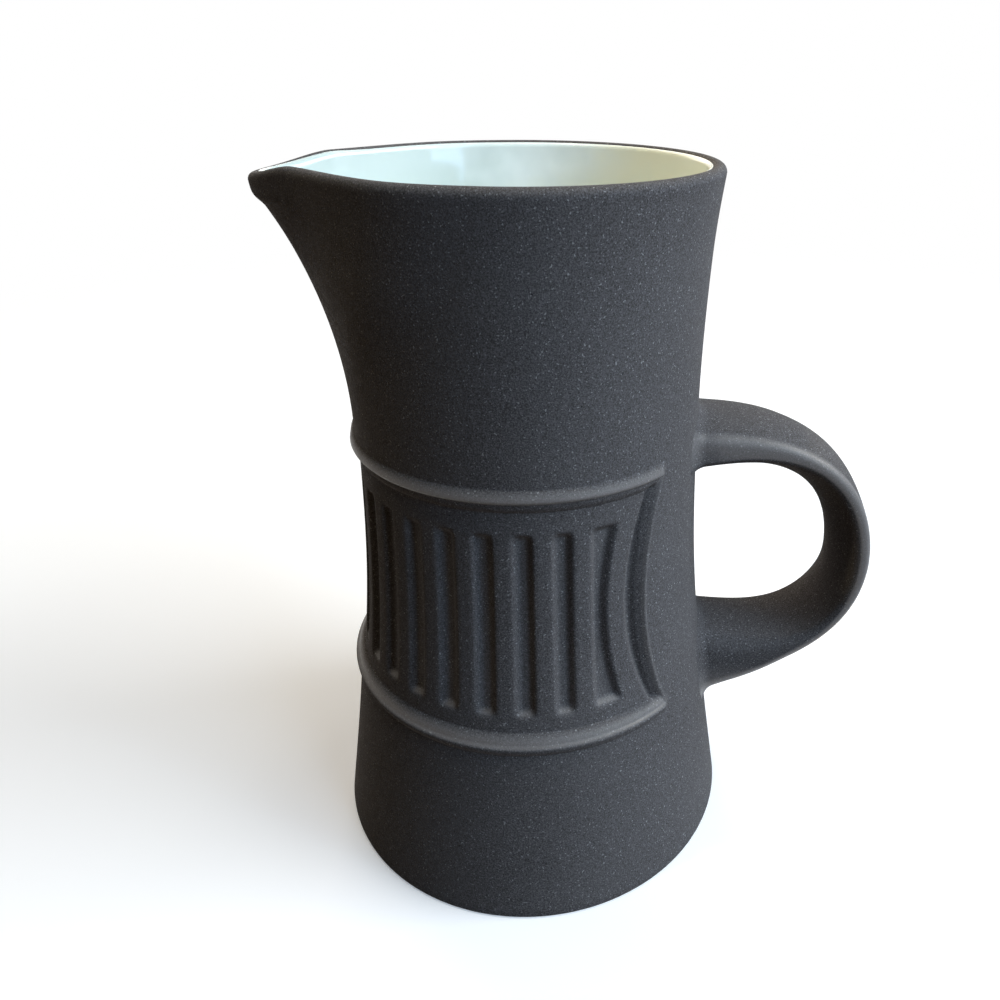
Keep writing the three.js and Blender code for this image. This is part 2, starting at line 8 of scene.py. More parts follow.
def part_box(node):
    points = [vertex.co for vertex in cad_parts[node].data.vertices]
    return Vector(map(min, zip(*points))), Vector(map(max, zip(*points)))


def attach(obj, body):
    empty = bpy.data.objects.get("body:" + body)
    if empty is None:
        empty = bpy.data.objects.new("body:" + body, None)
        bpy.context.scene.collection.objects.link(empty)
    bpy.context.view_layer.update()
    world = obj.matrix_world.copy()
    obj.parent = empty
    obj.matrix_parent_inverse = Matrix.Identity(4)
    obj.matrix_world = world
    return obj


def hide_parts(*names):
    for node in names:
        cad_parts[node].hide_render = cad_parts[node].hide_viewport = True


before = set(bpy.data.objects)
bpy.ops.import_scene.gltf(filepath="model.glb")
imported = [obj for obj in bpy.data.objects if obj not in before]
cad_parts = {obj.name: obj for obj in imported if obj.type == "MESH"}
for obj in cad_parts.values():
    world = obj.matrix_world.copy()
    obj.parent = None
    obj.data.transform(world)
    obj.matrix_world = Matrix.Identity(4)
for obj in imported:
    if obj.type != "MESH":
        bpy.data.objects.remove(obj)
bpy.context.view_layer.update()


# The view. The jug stands on a table and is looked down on from a little above its rim, with the
# spout to the left and the handle to the right. The jug's own axis lies off the frame's origin,
# because the handle reaches farther out than the spout, and is found from the round foot.

MM = 0.001
body_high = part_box("body")[1]
axis_x = body_high.x - body_high.y
image_size = 1000
focus_in_pixels = 862.4
optical_centre = (591.9, 422.1)
camera_from_axis = Vector((7.3, -160.9, 157.75)) * MM
camera_turn = math.radians(1.996)
camera_tilt = math.radians(23.268)
camera_roll = math.radians(-0.574)

camera = bpy.data.objects.new("camera", bpy.data.cameras.new("camera"))
bpy.context.collection.objects.link(camera)
bpy.context.scene.camera = camera
camera.data.sensor_width = 36
camera.data.lens = camera.data.sensor_width * focus_in_pixels / image_size
camera.data.shift_x = (image_size / 2 - optical_centre[0]) / image_size
camera.data.shift_y = (optical_centre[1] - image_size / 2) / image_size
camera.data.clip_start = 0.01
camera.data.clip_end = 20
looking = Vector((
    math.sin(camera_turn) * math.cos(camera_tilt),
    math.cos(camera_turn) * math.cos(camera_tilt),
    -math.sin(camera_tilt),
))
level = Vector((math.cos(camera_turn), -math.sin(camera_turn), 0))
down = looking.cross(level)
right = math.cos(camera_roll) * level + math.sin(camera_roll) * down
down = math.cos(camera_roll) * down - math.sin(camera_roll) * level
camera.matrix_world = Matrix.Translation(camera_from_axis + Vector((axis_x, 0, 0))) @ Matrix(
    (right, -down, -looking)
).transposed().to_4x4()


# The light. Cool windows stand to the right of the jug: one beside it, one in front and a faint one
# behind. A warm ceiling and a soft lamp on the far side fill the shade, and a narrow warm spot falls
# from the left on to the glaze just inside the mouth.

jug_middle = Vector((0, 0, 0.07))
glow_target = Vector((axis_x + 0.014, 0.004, 0.135))
glow_azimuth = -2.88
glow_height = 1.19
glow_distance = 1


def place_light(data, target, azimuth, height, distance):
    """Link a light and aim it at a target from an angle round it and an angle up, in radians."""
    light = bpy.data.objects.new(data.name, data)
    bpy.context.collection.objects.link(light)
    level_part = math.cos(height)
    away = Vector((math.cos(azimuth) * level_part, math.sin(azimuth) * level_part, math.sin(height)))
    light.location = target + away * distance
    light.rotation_euler = away.to_track_quat("Z", "Y").to_euler()


def lamp(name, azimuth, height, power, colour, distance=1.3, size=(0.7, 0.8)):
    """An area lamp aimed at the middle of the jug, placed by its compass angle and height angle."""
    data = bpy.data.lights.new(name, "AREA")
    data.shape = "RECTANGLE"
    data.size, data.size_y = size
    data.energy = power
    data.color = colour
    place_light(data, jug_middle, math.radians(azimuth), math.radians(height), distance)


lamp("window", azimuth=-9, height=36, power=19.8, colour=(0.74, 0.86, 1.0))
lamp("front_window", azimuth=-42, height=27, power=11.7, colour=(0.47, 0.69, 1.0))
lamp("back_window", azimuth=30, height=45, power=2.25, colour=(0.9, 0.96, 1.0))
lamp("ceiling", azimuth=165, height=80, power=3.6, colour=(1.0, 0.9, 0.66))
lamp("far_room", azimuth=112, height=28, power=9.9, colour=(1.0, 0.94, 0.88), distance=1.5, size=(1.1, 1.0))

glow = bpy.data.lights.new("mouth_glow", "SPOT")
glow.energy = 18
glow.color = (1.0, 0.88, 0.58)
glow.spot_size = math.radians(5.6)
glow.spot_blend = 0.6
glow.shadow_soft_size = 0.03
place_light(glow, glow_target, glow_azimuth, glow_height, glow_distance)


def plain_shader(nodes, kind, colour):
    """A new shader node of one colour."""
    shader = nodes.new(kind)
    shader.inputs["Color"].default_value = (*colour, 1)
    return shader


def looked_at(nodes, wire):
    """1 for a ray from the camera, a reflection or a clear material, and 0 for the light itself."""
    ray = nodes.new("ShaderNodeLightPath")
    seen = ray.outputs["Is Camera Ray"]
    for kind in ("Is Glossy Ray", "Is Transmission Ray"):
        either = nodes.new("ShaderNodeMath")
        either.operation = "MAXIMUM"
        wire(seen, either.inputs[0])
        wire(ray.outputs[kind], either.inputs[1])
        seen = either.outputs[0]
    return seen


def mixed(nodes, wire, amount, under, over):
    """One shader laid over another by an amount from 0 to 1."""
    node = nodes.new("ShaderNodeMixShader")
    for socket, source in zip(node.inputs, (amount, under, over)):
        wire(source, socket)
    return node.outputs["Shader"]


world = bpy.data.worlds.new("room")
bpy.context.scene.world = world
world.use_nodes = True
nodes, wire = world.node_tree.nodes, world.node_tree.links.new
nodes.clear()
white_room = plain_shader(nodes, "ShaderNodeBackground", (1, 1, 1))
white_room.inputs["Strength"].default_value = 1
room_light = plain_shader(nodes, "ShaderNodeBackground", (0.95, 0.93, 0.9))
room_light.inputs["Strength"].default_value = 0.01
room = mixed(nodes, wire, looked_at(nodes, wire), room_light.outputs[0], white_room.outputs[0])
wire(room, nodes.new("ShaderNodeOutputWorld").inputs["Surface"])
bpy.context.scene.view_settings.view_transform = "Standard"


# The table. A plain pale sheet that keeps the jug's soft shadow and fades to white farther off. It
# throws only a little brown light back on the jug.

table_half = 3.0
table_colour = (0.93, 0.866, 0.80)
thrown_back_colour = (0.12, 0.074, 0.035)
lift_colour = (0.89, 0.945, 1)
lift_strength = 0.26
fade_starts = 0.2
fade_ends = 0.6

table_mesh = bpy.data.meshes.new("table")
corners = [(-1, -1), (1, -1), (1, 1), (-1, 1)]
table_mesh.from_pydata([(x * table_half, y * table_half, 0) for x, y in corners], [], [(0, 1, 2, 3)])
table = bpy.data.objects.new("table", table_mesh)
bpy.context.collection.objects.link(table)
paper = bpy.data.materials.new("pale_table")
paper.use_nodes = True
nodes, wire = paper.node_tree.nodes, paper.node_tree.links.new
nodes.clear()
seen = looked_at(nodes, wire)
matt = plain_shader(nodes, "ShaderNodeBsdfDiffuse", table_colour)
dim = plain_shader(nodes, "ShaderNodeBsdfDiffuse", thrown_back_colour)
thrown_back = nodes.new("ShaderNodeLightPath").outputs["Is Diffuse Ray"]
sheet = mixed(nodes, wire, thrown_back, matt.outputs[0], dim.outputs[0])
lift_amount = nodes.new("ShaderNodeMath")
lift_amount.operation = "MULTIPLY"
lift_amount.inputs[1].default_value = lift_strength
wire(seen, lift_amount.inputs[0])
lift = plain_shader(nodes, "ShaderNodeEmission", lift_colour)
wire(lift_amount.outputs[0], lift.inputs["Strength"])
near = nodes.new("ShaderNodeAddShader")
wire(sheet, near.inputs[0])
wire(lift.outputs[0], near.inputs[1])
reach = nodes.new("ShaderNodeVectorMath")
reach.operation = "LENGTH"
wire(nodes.new("ShaderNodeTexCoord").outputs["Object"], reach.inputs[0])
fade = nodes.new("ShaderNodeMapRange")
fade.interpolation_type = "SMOOTHSTEP"
fade.inputs["From Min"].default_value = fade_starts
fade.inputs["From Max"].default_value = fade_ends
wire(reach.outputs["Value"], fade.inputs["Value"])
far_and_seen = nodes.new("ShaderNodeMath")
far_and_seen.operation = "MULTIPLY"
wire(fade.outputs["Result"], far_and_seen.inputs[0])
wire(seen, far_and_seen.inputs[1])
white = plain_shader(nodes, "ShaderNodeEmission", (1, 1, 1))
surface = mixed(nodes, wire, far_and_seen.outputs[0], near.outputs[0], white.outputs[0])
wire(surface, nodes.new("ShaderNodeOutputMaterial").inputs["Surface"])
table_mesh.materials.append(paper)


# The body. One vessel of dark, fine stoneware: a waisted wall on a turned foot ring, drawn out at
# the rim into a pinched spout whose straight flanks meet in a rounded keel and end in a blunt nose.
# Sizes in millimetres and degrees.

height = 140
foot_radius = 42.7
lower = (38.3, 30)
middle = (34.9, 62)
waist = (34, 96)
neck = (34.9, height - 16)
rim_radius = 36.6
wall = 2.8
lip = wall / 2
foot_recess = 1.2
foot_ring_width = 5
foot_edge = 0.6
floor_height = foot_recess + 4
inner_corner = 9
spout_root = height - 66
spout_throw = 13.1
spout_sweep = 2.7
spout_root_angle = 23
spout_lip_angle = 29.6
spout_tip_rounding = 8
spout_fold = 6
spout_dip = 2.3
spout_dip_angle = 20
nose_throw = 12.7
nose_rounding = 1
nose_swell = 0.96
nose_below_tip = 1.7
nose_spread = 2.6
spout_tip = height - spout_dip - lip
farthest_swing = 150
probe = 0.05
tiny = 1e-9


def smooth_line(points, steps):
    """Points along the smooth curve that passes through the points given, ends included."""
    points = np.array(points, float)
    held = np.vstack([points[:1], points, points[-1:]])
    t = np.linspace(0, 1, steps, endpoint=False)[:, None]
    line = []
    for a, b, c, d in zip(held, held[1:], held[2:], held[3:]):
        into, away = (c - a) / 2, (d - b) / 2
        cubed = (2 * b - 2 * c + into + away) * t**3
        squared = (3 * c - 3 * b - 2 * into - away) * t**2
        line.append(cubed + squared + into * t + b)
    return np.vstack(line + [points[-1:]])


wall_line = smooth_line([(foot_radius, 0), lower, middle, waist, neck, (rim_radius, height)], 60)


def wall_radius(z):
    return np.interp(z, wall_line[:, 1], wall_line[:, 0])


def from_keel(angle):
    """Angle away from the spout's keel, which lies at half a turn."""
    return np.abs(np.arctan2(np.sin(angle - np.pi), np.cos(angle - np.pi)))


def outside(angle, z):
    """Outside radius of the plain jug, spout included."""
    radius = wall_radius(z)
    rise = np.clip((z - spout_root) / (spout_tip - spout_root), 0, 1)
    # The keel swells a little below the tip and is held back at it, which makes the nose blunt.
    off_nose = (z - spout_tip + nose_below_tip) / nose_spread
    keel = spout_throw * rise**spout_sweep + nose_swell * np.clip(1 - off_nose**2, 0, 1) ** 2
    blunted = np.maximum(nose_rounding - np.abs(keel - nose_throw), 0)
    keel = np.minimum(keel, nose_throw) - blunted**2 / (4 * nose_rounding)
    rounding = math.radians(spout_tip_rounding)
    turn = np.hypot(from_keel(angle), rounding) - rounding
    spread = np.radians(spout_root_angle + (spout_lip_angle - spout_root_angle) * rise)
    tip = radius + keel
    # Each flank is a straight line that falls away past its nearest point, where the wall goes on.
    flank = np.arctan2(np.sin(spread), tip / radius - np.cos(spread))
    nearest = tip * np.sin(flank)
    swing = np.minimum(flank + turn, math.radians(farthest_swing))
    line = np.where(swing < np.pi / 2, nearest / np.sin(swing), nearest * (2 - 1 / np.sin(swing)))
    soft = np.minimum(spout_fold, keel) + tiny
    overlap = np.maximum(soft - np.abs(radius - line), 0)
    return np.maximum(radius, line) + overlap**2 / (4 * soft)


def slopes(angle, z):
    """How fast the outside radius changes upwards and around, per millimetre."""
    high, low = np.minimum(z + probe, height), np.maximum(z - probe, 0)
    up = (outside(angle, high) - outside(angle, low)) / (high - low)
    swing = probe / outside(angle, z)
    return up, (outside(angle + swing, z) - outside(angle - swing, z)) / (2 * probe)


def skin(angle, z, depth):
    """Points that lie a given depth inside the outside of the jug, measured square to it."""
    up, around = slopes(angle, z)
    radius = outside(angle, z) - depth * np.sqrt(1 + up**2 + around**2)
    return np.stack([radius * np.cos(angle), radius * np.sin(angle), z + 0 * radius], -1)


def outward(angle, z):
    """Direction square to the outside of the jug."""
    up, around = slopes(angle, z)
    x, y = np.cos(angle) + around * np.sin(angle), np.sin(angle) - around * np.cos(angle)
    across = np.stack([x, y, -up], -1)
    return across / np.linalg.norm(across, axis=-1, keepdims=True)


def dipped(angle, z):
    """A level line of the wall follows the dip of the lip towards the spout's tip."""
    share = np.clip(from_keel(angle) / math.radians(spout_dip_angle), 0, 1)
    dip = spout_dip * (1 - share**2) ** 2
    return z - dip * np.clip((z - spout_root) / (height - spout_root), 0, 1)


def stretches(*stops):
    """Values from the first stop to the last; each later stop says how many steps lead to it."""
    values = [stops[0]]
    for end, steps in stops[1:]:
        values.extend(np.linspace(values[-1], end, steps + 1)[1:])
    return np.array(values)


def turned(name, rings, start, end):
    """A closed mesh from a point on the jug's axis, through rings of points, to another point."""
    count = len(rings[0])
    points = np.vstack([[(0, 0, start)], *rings, [(0, 0, end)]])
    points[:, 0] += axis_x / MM
    i = np.arange(count)
    after = (i + 1) % count
    faces = [(0, 1 + b, 1 + a) for a, b in zip(i, after)]
    for ring in range(len(rings) - 1):
        here, above = 1 + ring * count, 1 + (ring + 1) * count
        faces.extend(zip(here + i, here + after, above + after, above + i))
    last = 1 + (len(rings) - 1) * count
    faces.extend((last + a, last + b, len(points) - 1) for a, b in zip(i, after))
    mesh = bpy.data.meshes.new(name)
    mesh.from_pydata(points * MM, [], faces)
    mesh.polygons.foreach_set("use_smooth", [True] * len(faces))
    piece = bpy.data.objects.new(name, mesh)
    bpy.context.collection.objects.link(piece)
    return piece


# The band on the body. Two raised rings run from its bowed ends, beside the handle, right round
# under the spout. Between them the clay is sunk a little and pressed with upright flutes, and a
# slim bowed flute and a crisp bead close each end.

lower_ring = 39.1
upper_ring = 88.5
ring_half_width = 2.2
lower_ring_proud = 1.3
upper_ring_proud = 0.95
band_sunk = 0.6
band_end_angle = 51.3
band_end_bow = 7.5
end_bead_half_width = 0.75
end_bead_proud = 0.5
flute_pitch = 12
flute_width = 4.5
flute_depth = 1.35
flute_flank = 1.7
flute_run_out = 1.9
flute_low = lower_ring + 5.0
flute_high = upper_ring - 6.3
end_flute_width = 3.6
end_flute_taper = 0.45
end_rib_width = 3.0
end_flute_margin = 0.6
ring_starts = -1.5
ring_full = 0.9
edge_ease = 0.4
fullness = 0.8
# The next four place the burnish and the painted highlight: on the rings' upper sides, in the flutes and at
# their low ends.
ring_rub_and_highlight_starts = -0.7
ring_rub_and_highlight_full = 0.3
hollow_rub_and_highlight = 0.35
scoop_rub_and_highlight = 3.4
far_off = 100
far_below = -100.0
bend_starts = 30
ring_margin = 2.6
lip_steps = 12
foot_softness = 0.2
band_middle = (lower_ring + upper_ring) / 2
band_half = (upper_ring - lower_ring) / 2
mm_per_degree = math.radians(float(wall_radius(band_middle)))

end_rib_edge = end_bead_half_width + end_flute_width + end_rib_width
rail = band_end_angle + end_rib_edge / mm_per_degree
last_flute = flute_pitch * (math.floor(rail / flute_pitch) + 0.5)
flank_angle = flute_flank / mm_per_degree
half_angle = flute_width / 2 / mm_per_degree
bead_angle = end_bead_half_width / mm_per_degree

# The mesh's columns and rows crowd at the edges of what is pressed. Each stop is an angle or a
# height, with the number of steps that lead to it.
stops = [0, (band_end_angle - 8 * bead_angle, 18), (band_end_angle - 2 * bead_angle, 5)]
stops += [(rail + flank_angle, 36), (last_flute + half_angle - flank_angle, 3)]
centre = last_flute
while centre < 180:
    stops += [(centre + half_angle, 6)]
    centre += flute_pitch
    if centre < 180:
        stops += [(centre - half_angle, 4), (centre - half_angle + flank_angle, 6)]
        stops += [(centre + half_angle - flank_angle, 3)]
stops += [(180, 2)]
one_side = stretches(*stops)
columns = np.concatenate([one_side, 360 - one_side[-2:0:-1]])


def smooth(share):
    """A share from 0 to 1 that starts and ends gently."""
    return share * share * (3 - 2 * share)


def bowed(z):
    """Columns of the mesh, in radians, that bend with the bowed ends of the band at a height."""
    side = np.minimum(columns, 360 - columns)
    near = np.clip((side - bend_starts) / (band_end_angle - bead_angle * 2 - bend_starts), 0, 1)
    bend_ends = last_flute + half_angle - flank_angle
    beyond = np.clip((side - rail - flank_angle) / (bend_ends - rail - flank_angle), 0, 1)
    share = smooth(near) * (1 - smooth(beyond))
    bow = band_end_bow * np.clip((z - band_middle) / band_half, -1, 1) ** 2
    return np.radians(np.where(columns < 180, columns - bow * share, columns + bow * share))


rows = stretches(
    foot_edge, (4, 3),
    (lower_ring - ring_margin, 14), (lower_ring + ring_margin, 26),
    (flute_low + 3, 12), (flute_high - 3, 16), (flute_high + 1.6, 12),
    (upper_ring - ring_margin, 4), (upper_ring + ring_margin, 26),
    (height - 14, 16), (height - 6, 7), (height - lip, 9),
)
lip_turns = np.linspace(0, np.pi, lip_steps + 1)[1:-1]
level_ring = bowed(0)
foot_inside = foot_radius - foot_ring_width
foot_skin = float(wall_radius(foot_edge))


def flat_ring(radius, z):
    """A level ring of points under the foot."""
    radius = radius + 0 * level_ring
    return np.stack([radius * np.cos(level_ring), radius * np.sin(level_ring), z + 0 * level_ring], -1)


rings = [
    flat_ring(foot_inside - foot_recess * 1.4, foot_recess),
    flat_ring(foot_inside - foot_recess, foot_recess * 0.75),
    flat_ring(foot_inside - foot_softness, foot_softness * 0.6),
    flat_ring(foot_inside + foot_softness, 0),
    flat_ring(foot_skin - foot_edge, 0),
]
for turn in np.radians([30, 60]):
    rings.append(flat_ring(foot_skin - foot_edge * (1 - math.sin(turn)), foot_edge * (1 - math.cos(turn))))
around, up, square = [], [], []
unmarked = 1 + len(rings) * len(columns)
for row in rows:
    angle = bowed(row)
    z = dipped(angle, row)
    rings.append(skin(angle, z, 0))
    around.append(np.degrees(angle))
    up.append(z)
    square.append(outward(angle, z))
angle = bowed(height)
for turn in lip_turns:
    centre_height = dipped(angle, height) - lip
    ring = skin(angle, centre_height, lip * (1 - math.cos(turn)))
    ring[:, 2] += lip * math.sin(turn)
    rings.append(ring)
for row in stretches(height - lip, (spout_root, 10), (floor_height + inner_corner, 4)):
    rings.append(skin(angle, dipped(angle, row), wall))
for turn in np.radians([22.5, 45, 67.5, 90]):
    inner = skin(angle, floor_height + inner_corner, wall)
    shrink = 1 - inner_corner * (1 - math.cos(turn)) / np.hypot(inner[:, 0], inner[:, 1])
    inner[:, :2] *= shrink[:, None]
    inner[:, 2] = floor_height + inner_corner * (1 - math.sin(turn))
    rings.append(inner)
plain_body = turned("plain_body", rings, foot_recess, floor_height)

marks = plain_body.data.attributes
marked = slice(unmarked, unmarked + len(rows) * len(columns))
angle_from_handle = np.full(len(plain_body.data.vertices), 0.0)
height_up = np.full(len(plain_body.data.vertices), far_below)
direction = np.zeros((len(plain_body.data.vertices), 3))
degrees = np.concatenate(around)
angle_from_handle[marked] = np.minimum(degrees, 360 - degrees)
height_up[marked] = np.concatenate(up)
direction[marked] = np.vstack(square)
marks.new("angle from handle", "FLOAT", "POINT").data.foreach_set("value", angle_from_handle)
marks.new("height", "FLOAT", "POINT").data.foreach_set("value", height_up)
marks.new("square to wall", "FLOAT_VECTOR", "POINT").data.foreach_set("vector", direction.ravel())

press = bpy.data.node_groups.new("press_the_band", "GeometryNodeTree")
press.interface.new_socket("Geometry", in_out="OUTPUT", socket_type="NodeSocketGeometry")
press.interface.new_socket("Geometry", in_out="INPUT", socket_type="NodeSocketGeometry")
press.interface.new_socket("Clay", in_out="INPUT", socket_type="NodeSocketMaterial")
band_sizes = {
    "Lower ring": lower_ring, "Upper ring": upper_ring, "Ring half width": ring_half_width,
    "Lower ring proud": lower_ring_proud, "Upper ring proud": upper_ring_proud,
    "Band sunk": band_sunk, "Band end angle": band_end_angle, "Band end bow": band_end_bow,
    "End bead half width": end_bead_half_width, "End bead proud": end_bead_proud,
    "Flute pitch": flute_pitch, "Flute half width": flute_width / 2, "Flute depth": flute_depth,
    "Flute flank": flute_flank, "Flute run out": flute_run_out,
    "Flute low": flute_low, "Flute high": flute_high,
    "End flute width": end_flute_width, "End flute taper": end_flute_taper, "End rib width": end_rib_width,
    "Millimetres per degree": mm_per_degree,
}
for name in band_sizes:
    press.interface.new_socket(name, in_out="INPUT", socket_type="NodeSocketFloat")
given = press.nodes.new("NodeGroupInput")
wire = press.links.new


def work(operation, *values):
    """A node that works one value out from others, which may be numbers or other nodes' results."""
    node = press.nodes.new("ShaderNodeMath")
    node.operation = operation
    for socket, value in zip(node.inputs, values):
        if isinstance(value, (int, float)):
            socket.default_value = value
        else:
            wire(value, socket)
    return node.outputs[0]


def eased(value, start, end):
    """0 before the start and 1 after the end, with a smooth rise between them."""
    node = press.nodes.new("ShaderNodeMapRange")
    node.interpolation_type = "SMOOTHSTEP"
    for socket, source in (("Value", value), ("From Min", start), ("From Max", end)):
        if isinstance(source, (int, float)):
            node.inputs[socket].default_value = source
        else:
            wire(source, node.inputs[socket])
    return node.outputs["Result"]


def marked_on_wall(name, kind):
    node = press.nodes.new("GeometryNodeInputNamedAttribute")
    node.data_type = kind
    node.inputs["Name"].default_value = name
    return next(socket for socket in node.outputs if socket.enabled and socket.name == "Attribute")


def size(name):
    return given.outputs[name]


def plus(a, b):
    return work("ADD", a, b)


def minus(a, b):
    return work("SUBTRACT", a, b)


def times(a, b):
    return work("MULTIPLY", a, b)


def over(a, b):
    return work("DIVIDE", a, b)


def larger(a, b):
    return work("MAXIMUM", a, b)


at_angle = marked_on_wall("angle from handle", "FLOAT")
at_height = marked_on_wall("height", "FLOAT")
middle_height = times(plus(size("Lower ring"), size("Upper ring")), 0.5)
half_height = times(minus(size("Upper ring"), size("Lower ring")), 0.5)
share = over(minus(at_height, middle_height), half_height)
share_squared = work("MINIMUM", times(share, share), 1)
end_angle = minus(size("Band end angle"), times(size("Band end bow"), share_squared))
past_end = times(minus(at_angle, end_angle), size("Millimetres per degree"))
above_low = minus(at_height, size("Lower ring"))
below_high = minus(size("Upper ring"), at_height)
between_rings = times(eased(above_low, -edge_ease, edge_ease), eased(below_high, -edge_ease, edge_ease))
in_band = times(eased(past_end, -edge_ease, edge_ease), between_rings)
ground = times(times(size("Band sunk"), in_band), -1)


def rounded(distance, half_width):
    """A rounded swell across a ring or a bead, 1 at its middle and 0 past its edges."""
    reach = over(distance, half_width)
    return work("POWER", larger(minus(1, times(reach, reach)), 0), fullness)


def ring_swell(distance, proud):
    """The rounded swell of a ring, which dies away at the band's end."""
    swell = times(rounded(distance, size("Ring half width")), proud)
    return times(swell, eased(past_end, ring_starts, ring_full))


lower_swell = ring_swell(above_low, size("Lower ring proud"))
upper_swell = ring_swell(below_high, size("Upper ring proud"))
lower_rub_and_highlight = eased(above_low, ring_rub_and_highlight_starts, ring_rub_and_highlight_full)
upper_rub_and_highlight = eased(below_high, -ring_rub_and_highlight_starts, -ring_rub_and_highlight_full)
lower_top = times(over(lower_swell, size("Lower ring proud")), lower_rub_and_highlight)
upper_top = times(over(upper_swell, size("Upper ring proud")), upper_rub_and_highlight)
bead = times(times(rounded(past_end, size("End bead half width")), size("End bead proud")), between_rings)


def pressed(from_left, from_right, low, high):
    """How far a flute is pressed in, and a mask at its scooped low end for the painted highlight there, from
    its sides and its ends.
    """
    sides = times(eased(from_left, 0, size("Flute flank")), eased(from_right, 0, size("Flute flank")))
    low_end = eased(minus(at_height, low), 0, size("Flute run out"))
    high_end = eased(minus(high, at_height), 0, size("Flute run out"))
    scooped = times(times(low_end, minus(1, low_end)), sides)
    depth = times(times(sides, size("Flute depth")), times(low_end, high_end))
    return depth, scooped


# The upright flutes repeat at the pitch. The one beside the bowed end starts at the end's rib.
pitch = size("Flute pitch")
in_pitch = minus(work("FLOORED_MODULO", at_angle, pitch), times(pitch, 0.5))
off_centre = times(in_pitch, size("Millimetres per degree"))
rib_edge = plus(plus(size("End bead half width"), size("End flute width")), size("End rib width"))
past_rib = minus(past_end, rib_edge)
rail_angle = plus(size("Band end angle"), over(rib_edge, size("Millimetres per degree")))
first_flute = times(work("FLOOR", over(rail_angle, pitch)), pitch)
is_first = work("LESS_THAN", at_angle, plus(first_flute, pitch))
straight_edge = plus(size("Flute half width"), off_centre)
near_edge = plus(times(is_first, past_rib), times(minus(1, is_first), straight_edge))
far_edge = minus(size("Flute half width"), off_centre)
far_limit = plus(far_edge, times(work("LESS_THAN", at_angle, first_flute), far_off))
flutes, scoops = pressed(far_limit, near_edge, size("Flute low"), size("Flute high"))

# The slim flute between the bead and the rib narrows towards the rings.
end_width = times(size("End flute width"), minus(1, times(size("End flute taper"), share_squared)))
from_bead = minus(past_end, size("End bead half width"))
from_rib = minus(end_width, from_bead)
end_low = plus(size("Lower ring"), end_flute_margin)
end_high = minus(size("Upper ring"), end_flute_margin)
end_flute, end_scoop = pressed(from_bead, from_rib, end_low, end_high)
deepest = larger(flutes, end_flute)
sunk = minus(ground, times(deepest, in_band))
raised = larger(larger(lower_swell, upper_swell), bead)
relief = times(plus(sunk, raised), MM)

# The attribute stored here says where the clay is burnished and painted lighter: on the rings' upper
# sides, the end beads, a little in the flutes and most at their scooped low ends. The burnish is
# partly real, and the lighter colour there is partly a painted highlight.
rub_and_highlight = press.nodes.new("GeometryNodeStoreNamedAttribute")
rub_and_highlight.data_type = "FLOAT"
rub_and_highlight.domain = "POINT"
rub_and_highlight.inputs["Name"].default_value = "rub_and_highlight"
wire(given.outputs["Geometry"], rub_and_highlight.inputs["Geometry"])
crest = larger(larger(lower_top, upper_top), bead)
hollow = times(over(deepest, size("Flute depth")), hollow_rub_and_highlight)
scoop = times(larger(scoops, end_scoop), scoop_rub_and_highlight)
shine_at = larger(crest, times(larger(hollow, scoop), in_band))
wire(shine_at, next(socket for socket in rub_and_highlight.inputs if socket.enabled and socket.name == "Value"))
shift = press.nodes.new("ShaderNodeVectorMath")
shift.operation = "SCALE"
wire(marked_on_wall("square to wall", "FLOAT_VECTOR"), shift.inputs[0])
wire(relief, shift.inputs["Scale"])
move = press.nodes.new("GeometryNodeSetPosition")
wire(rub_and_highlight.outputs["Geometry"], move.inputs["Geometry"])
wire(shift.outputs["Vector"], move.inputs["Offset"])
realize = press.nodes.new("GeometryNodeRealizeInstances")
wire(move.outputs["Geometry"], realize.inputs["Geometry"])
coat = press.nodes.new("GeometryNodeSetMaterial")
wire(realize.outputs["Geometry"], coat.inputs["Geometry"])
wire(given.outputs["Clay"], coat.inputs["Material"])
result = press.nodes.new("NodeGroupOutput")
wire(coat.outputs["Geometry"], result.inputs[0])


# The clay. Unglazed dark stoneware: nearly black with a brown cast, matt, with fine pale and dark
# grains, a faint turning texture round the wall and a soft grainy surface. Where the mesh marks it,
# it is burnished and painted lighter, which is partly real burnish and partly a painted highlight.

clay_dark = (0.051, 0.043, 0.039)
clay_light = (0.068, 0.059, 0.054)
fine_grain = (0.142, 0.130, 0.124)
pale_grain = (0.278, 0.261, 0.244)
pit = (0.022, 0.020, 0.018)
burnish_and_highlight_colour = (0.139, 0.135, 0.133)
clay_sheen = (1, 0.82, 0.64)
relief_height = 0.0002


